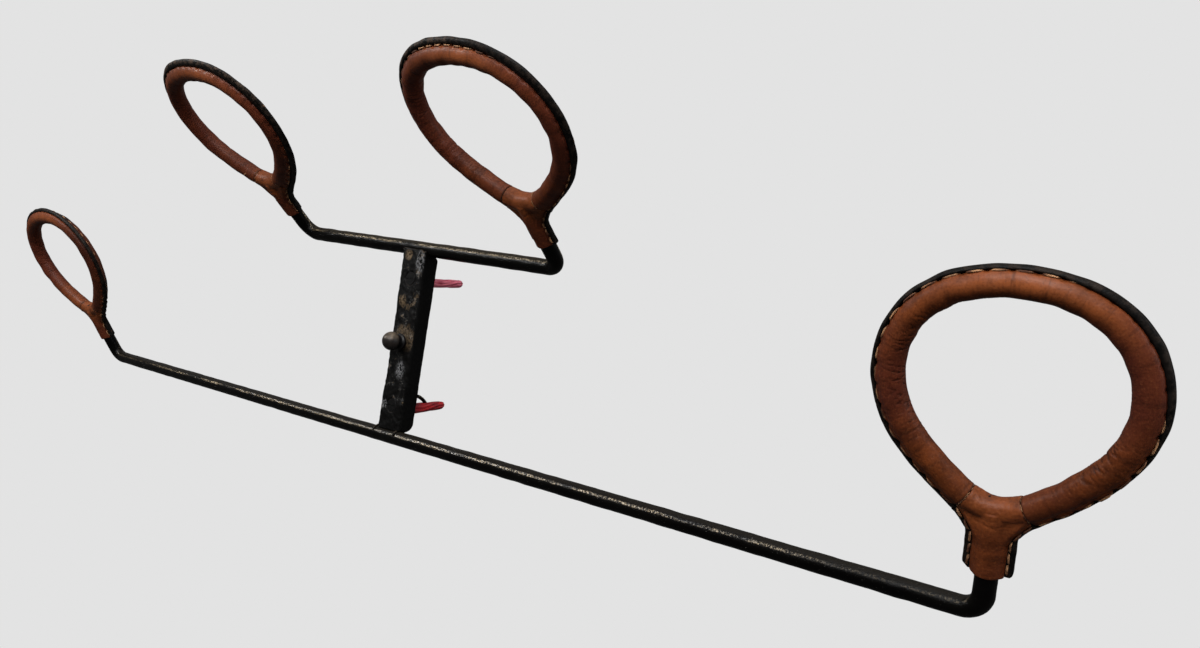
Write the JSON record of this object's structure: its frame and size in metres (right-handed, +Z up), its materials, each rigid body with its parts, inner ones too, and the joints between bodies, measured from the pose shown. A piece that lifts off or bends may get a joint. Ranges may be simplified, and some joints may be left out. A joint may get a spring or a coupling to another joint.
{
  "type": "wall coat rack",
  "caption": "Wall coat rack of black iron rods on an upright bar, each rod end carrying a closed leather-covered loop.",
  "frame": {"origin": "middle of the mounting bar's rear face, where it lies on the wall", "axes": "+X along the rods to the right, +Y into the wall, +Z up"},
  "size_m": [0.9432, 0.1602, 0.2368],
  "materials": {
    "black_iron": "black paint on iron, dusty and worn to brown and bright metal in places",
    "screw_steel": "steel screw with its head painted over",
    "knob_bronze": "dark bronze, rubbed bright on the crown",
    "plug_red": "ribbed red plastic",
    "tan_leather": "tan saddle leather, creased and darkened by handling",
    "black_leather": "black leather, worn along its edge"
  },
  "bodies": {
    "root": {"lower_rod": "black_iron", "upper_rod": "black_iron", "mounting_bar": "black_iron", "knob": "knob_bronze", "upper_wall_screw": "screw_steel", "upper_wall_plug": "plug_red", "lower_wall_screw": "screw_steel", "lower_wall_plug": "plug_red", "rear_wire_tab": "black_iron", "lower_left_loop_core": "black_iron", "lower_left_loop_front": "tan_leather", "lower_left_loop_back": "black_leather", "lower_left_yoke_front": "tan_leather", "lower_left_yoke_back": "black_leather", "lower_right_loop_core": "black_iron", "lower_right_loop_front": "tan_leather", "lower_right_loop_back": "black_leather", "lower_right_yoke_front": "tan_leather", "lower_right_yoke_back": "black_leather", "upper_left_loop_core": "black_iron", "upper_left_loop_front": "tan_leather", "upper_left_loop_back": "black_leather", "upper_left_yoke_front": "tan_leather", "upper_left_yoke_back": "black_leather", "upper_right_loop_core": "black_iron", "upper_right_loop_front": "tan_leather", "upper_right_loop_back": "black_leather", "upper_right_yoke_front": "tan_leather", "upper_right_yoke_back": "black_leather"}
  },
  "joints": []
}
